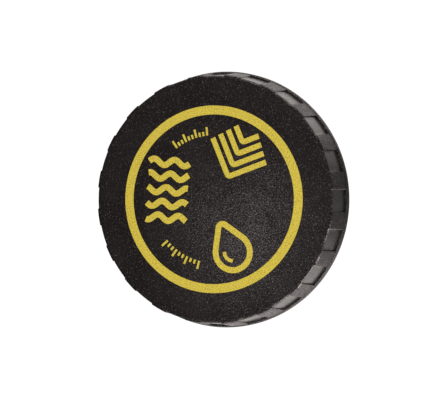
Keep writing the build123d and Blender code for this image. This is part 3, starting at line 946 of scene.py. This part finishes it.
class CAP_OT_face_print(bpy.types.Operator):
    """Print the ring, the scales and the plain marks on the face"""

    bl_idname = "cap.face_print"
    bl_label = "Face Print"

    def execute(self, context):
        ink = context.scene.cap_print
        prints = [self.ring(ink)]
        stroke, scale = printed_stroke(), printed_scale()
        shared = {"Thickness": ink.thickness, "Ink": yellow_ink()}
        for name, lines, width, corner, closed in self.marks():
            values = {"Width": width * MM, "Corner": corner * MM, **shared}
            prints.append(modified(line_object(name, lines, closed), stroke, values))
        for start, sweep, radius, ticks in ((95, 31, 16.0, 10), (221, 36, 15.8, 10)):
            row = line_object("scale", [[Vector((0, 0, 0)), Vector((0, 0, MM))]], False)
            values = {
                "Ticks": ticks, "Start": math.radians(start), "Sweep": math.radians(sweep),
                "Radius": radius * MM, "Height": HEAD_HIGH.z, "Width": ink.tick_width,
                "Length": ink.tick_length, **shared,
            }
            prints.append(modified(row, scale, values))
        dressed(joined("face_print", prints), yellow_ink(), "root", "grip_nylon")
        return {"FINISHED"}

    def ring(self, ink, steps=240):
        """The printed ring, turned from its four corners."""
        low, high = HEAD_HIGH.z - ink.thickness, HEAD_HIGH.z + ink.thickness
        inner, outer = ink.ring_inner, ink.ring_outer
        corners = [(inner, high), (outer, high), (outer, low), (inner, low)]
        angles = [2 * math.pi * step / steps for step in range(steps)]
        return lathed("ring", [(*corner, 0.0) for corner in corners], angles, closed=True)

    def marks(self):
        """Each plain mark as (name, lines, stroke width, corner radius, closed), in millimetres."""
        waves = []
        half_width, spacing, swing, bend, steps = 5.4, 3.5, 0.75, 1.15, 24
        for row in range(5):
            points = []
            for step in range(steps + 1):
                across = -half_width + 2 * half_width * step / steps
                points.append((across, (2 - row) * spacing + swing * math.sin(across * bend + row)))
            waves.append(face_lines(points, 12.2, 169, -4))
        chevrons = []
        slope = 0.95
        for row in range(4):
            reach, foot = 7.6 - 1.45 * row, -7.2 + 3.1 * row
            arm = foot + reach * slope
            chevrons.append(face_lines([(-reach, arm), (0.0, foot), (reach, arm)], 14.1, 60, -24))
        bulb, tip, apex = 4.5, 1.1, 8.6
        lean = math.degrees(math.asin(bulb / apex))
        tip_height = apex - tip * apex / bulb
        drop = arc((0.0, tip_height), tip, lean, 180 - lean, 6)
        drop += arc((0.0, 0.0), bulb, 180 - lean, 360 + lean, 28)
        glint = [(2.2 * math.cos(a), 2.2 * math.sin(a)) for a in (2.7, 3.1, 3.5, 3.9, 4.3)]
        spot = (14.2, -68, 24)
        return [
            ("waves", waves, 1.55, 0.0, False),
            ("chevrons", chevrons, 1.35, 0.7, False),
            ("drop", [face_lines(drop, *spot)], 1.5, 0.0, True),
            ("glint", [face_lines(glint, *spot)], 0.9, 0.0, False),
        ]


class CAP_OT_mouldings(bpy.types.Operator):
    """Make the screw stem, the valve housing, its cover and the relief plate"""

    bl_idname = "cap.mouldings"
    bl_label = "Mouldings"

    def execute(self, context):
        soften_and_dress([
            ("screw_stem", 0.2, satin_nylon(), "root", "stem_nylon"),
            ("valve_housing", 0.15, satin_nylon(), "root", "housing_nylon"),
            ("housing_cover", 0.12, satin_nylon(), "root", "housing_nylon"),
            ("relief_plate", 0.1, natural_nylon(), "relief_valve", "valve_nylon"),
        ])
        return {"FINISHED"}


class CAP_OT_seals(bpy.types.Operator):
    """Make the gasket, the O-rings and the relief seal"""

    bl_idname = "cap.seals"
    bl_label = "Seals"

    def execute(self, context):
        soften_and_dress([
            ("neck_gasket", 0.25, seal_rubber(), "root", "seal_rubber"),
            ("relief_seal", 0.15, seal_rubber(), "relief_valve", "seal_rubber"),
        ])
        for node in ("lower_o_ring", "upper_o_ring", "cover_seal"):
            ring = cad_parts[node]
            covered_with(ring, seal_rubber())
        return {"FINISHED"}


class CAP_OT_metal_parts(bpy.types.Operator):
    """Make the lock ring, the clamp ring, the poppet and the spring cap"""

    bl_idname = "cap.metal_parts"
    bl_label = "Metal Parts"

    def execute(self, context):
        soften_and_dress([
            ("lock_ring", 0.15, spring_steel(), "root", "spring_steel"),
            ("clamp_ring", 0.06, turned_brass(), "relief_valve", "poppet_brass"),
            ("vacuum_poppet", 0.06, turned_brass(), "vacuum_valve", "poppet_brass"),
            ("spring_cap", 0.08, turned_brass(), "vacuum_valve", "poppet_brass"),
        ])
        return {"FINISHED"}


class CAP_OT_springs(bpy.types.Operator):
    """Wind the relief spring and the vacuum spring"""

    bl_idname = "cap.springs"
    bl_label = "Springs"

    def execute(self, context):
        sizes = context.scene.cap_sizes
        tree = wound_spring()
        rows = [
            ("relief_spring", RELIEF_LOW, RELIEF_HIGH, sizes.relief_wire, "root", "relief_lift",
             RELIEF_HIGH.z),
            ("vacuum_spring", VACUUM_LOW, VACUUM_HIGH, sizes.vacuum_wire, "relief_valve",
             "vacuum_open", VACUUM_LOW.z),
        ]
        for node, low, high, wire, body, joint, anchor in rows:
            coil = line_object(f"{node}_wound", [[Vector(low), Vector(high)]], False)
            values = {
                "Radius": high.x - wire / 2, "Wire": wire, "Turns": sizes.spring_turns,
                "Low": low.z, "High": high.z, "Steel": spring_steel(),
            }
            smoothed(modified(coil, tree, values))
            dressed(coil, spring_steel(), body, "spring_steel", node)
            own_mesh(coil)
        return {"FINISHED"}


class CAP_OT_stage(bpy.types.Operator):
    """Set up the floor, the soft lamps and the camera"""

    bl_idname = "cap.stage"
    bl_label = "Stage"

    def execute(self, context):
        stage = context.scene.cap_stage
        self.floor()
        self.world(stage)
        self.softbox("softbox_above", stage.softbox_power, (0.06, 0.46, 0.30), (0.5, 0.25))
        self.softbox("softbox_below", stage.softbox_power, (0.06, -0.46, 0.30), (0.5, 0.25))
        self.softbox("edge_light", stage.edge_power, (0.34, -0.37, 0.16), (0.4, 0.24))
        self.camera(stage)
        context.scene.view_settings.view_transform = "Standard"
        return {"FINISHED"}

    def rays(self, net):
        """Whether the camera sees a surface, also through glass, and whether gloss mirrors it."""
        path = [
            net.get("ShaderNodeLightPath", f"Is {kind} Ray")
            for kind in ("Camera", "Transmission", "Glossy")
        ]
        return net.math("MAXIMUM", path[0], path[1]), path[2]

    def floor(self):
        """A wide white floor that keeps the cap's shadow. For gloss it glows as a painted reflection, most
        above and below the cap, warm, and dimmed by a painted shade under it.
        """
        half, level = 3.0, -0.02 * MM
        mesh = bpy.data.meshes.new("floor")
        corners = [(-half, -half), (half, -half), (half, half), (-half, half)]
        mesh.from_pydata([(x, y, level) for x, y in corners], [], [(0, 1, 2, 3)])
        floor = placed("floor", mesh)
        material, net, place = new_material("floor_white")
        seen, mirrored = self.rays(net)
        either = net.math("MAXIMUM", seen, mirrored)
        reach = net.vector("LENGTH", place)
        side = net.math("ABSOLUTE", net.split(place)[1]) / reach
        # Painted shade under the cap, and a painted reflection that gloss sees, brightest above and below
        # the cap.
        painted_shade_under_cap = net.step(reach, 20 * MM, 32 * MM, 0.15, 1.0)
        painted_reflection = net.step(side, 0.22, 0.87, 0.02, 1.0) * painted_shade_under_cap
        shader = shaded(net, {
            "Base Color": net.mixed(either, (0.82, 0.82, 0.82), (0.15, 0.15, 0.15)),
            "Roughness": 0.9,
            "Specular IOR Level": 0.1,
            # Painted reflection: gloss sees the floor in a warm tint.
            "Emission Color": net.mixed(mirrored, (1.0, 1.0, 1.0), (1.0, 0.935, 0.885)),
            "Emission Strength": seen * 0.93 + mirrored * painted_reflection,
        })
        back = net.get("ShaderNodeNewGeometry", "Backfacing")
        clear = net.get("ShaderNodeBsdfTransparent")
        front = Output(net, shader.outputs[0])
        sides = net.get("ShaderNodeMixShader", 0, {0: back, 1: front, 2: clear})
        net.feed(net.tree.nodes["Material Output"].inputs["Surface"], sides)
        mesh.materials.append(material)

    def world(self, stage):
        """A dim grey room that the camera sees as white."""
        world = bpy.data.worlds.new("room")
        world.use_nodes = True
        bpy.context.scene.world = world
        net = Net(world.node_tree)
        background = net.tree.nodes["Background"]
        seen = self.rays(net)[0]
        strength = net.step(seen, 0.0, 1.0, stage.world_light, 1.0, kind="LINEAR")
        net.feed(background.inputs["Strength"], strength)
        background.inputs["Color"].default_value = (1.0, 1.0, 1.0, 1.0)

    def softbox(self, name, power, spot, size):
        """One area lamp that looks at the cap."""
        lamp = bpy.data.lights.new(name, "AREA")
        lamp.shape = "RECTANGLE"
        lamp.size, lamp.size_y = size
        lamp.energy = power
        box = placed(name, lamp)
        box.location = spot
        aim = Vector((0.0, 0.0, HEAD_LOW.z)) - box.location
        box.rotation_euler = aim.to_track_quat("-Z", "Y").to_euler()

    def camera(self, stage):
        """The camera as the photograph was taken, a little to the right of the screw axis."""
        turn = Matrix.Rotation(-stage.turn, 3, "Y")
        tilt = Matrix.Rotation(stage.tilt, 3, "X")
        stand = (tilt @ turn).transposed()
        spot = stand @ Vector((stage.aside, stage.above, stage.distance))
        lens = bpy.data.cameras.new("camera")
        lens.sensor_fit = "HORIZONTAL"
        lens.sensor_width = SENSOR / MM
        lens.lens = stage.focal_pixels / IMAGE_WIDTH * SENSOR / MM
        lens.clip_start = 0.01
        lens.clip_end = 20.0
        camera = placed("camera", lens)
        middle = Vector((0.0, 0.0, HEAD_HIGH.z))
        camera.matrix_world = Matrix.Translation(middle + spot) @ stand.to_4x4()
        bpy.context.scene.camera = camera


class CAP_PT_panel(bpy.types.Panel):
    """The cap's operators in the sidebar"""

    bl_idname = "CAP_PT_panel"
    bl_label = "Coolant Tank Cap"
    bl_space_type = "VIEW_3D"
    bl_region_type = "UI"
    bl_category = "Tank Cap"

    def draw(self, context):
        for operator in OPERATORS:
            self.layout.operator(operator.bl_idname)
        for group in SETTINGS:
            box = self.layout.box()
            values = getattr(context.scene, group)
            for name in values.__annotations__:
                box.prop(values, name)


OPERATORS = (
    CAP_OT_grip_head,
    CAP_OT_face_print,
    CAP_OT_mouldings,
    CAP_OT_seals,
    CAP_OT_metal_parts,
    CAP_OT_springs,
    CAP_OT_stage,
)
SETTINGS = {
    "cap_sizes": CapSizes,
    "cap_print": CapPrint,
    "cap_colours": CapColours,
    "cap_stage": CapStage,
}


def register():
    for kind in (*SETTINGS.values(), *OPERATORS, CAP_PT_panel):
        bpy.utils.register_class(kind)
    for name, settings in SETTINGS.items():
        setattr(bpy.types.Scene, name, bpy.props.PointerProperty(type=settings))


def unregister():
    for name in SETTINGS:
        delattr(bpy.types.Scene, name)
    for kind in (CAP_PT_panel, *reversed(OPERATORS), *SETTINGS.values()):
        bpy.utils.unregister_class(kind)


def main():
    register()
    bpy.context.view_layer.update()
    bpy.ops.cap.grip_head()
    bpy.ops.cap.face_print()
    bpy.ops.cap.mouldings()
    bpy.ops.cap.seals()
    bpy.ops.cap.metal_parts()
    bpy.ops.cap.springs()
    bpy.ops.cap.stage()


if __name__ == "__main__":
    main()
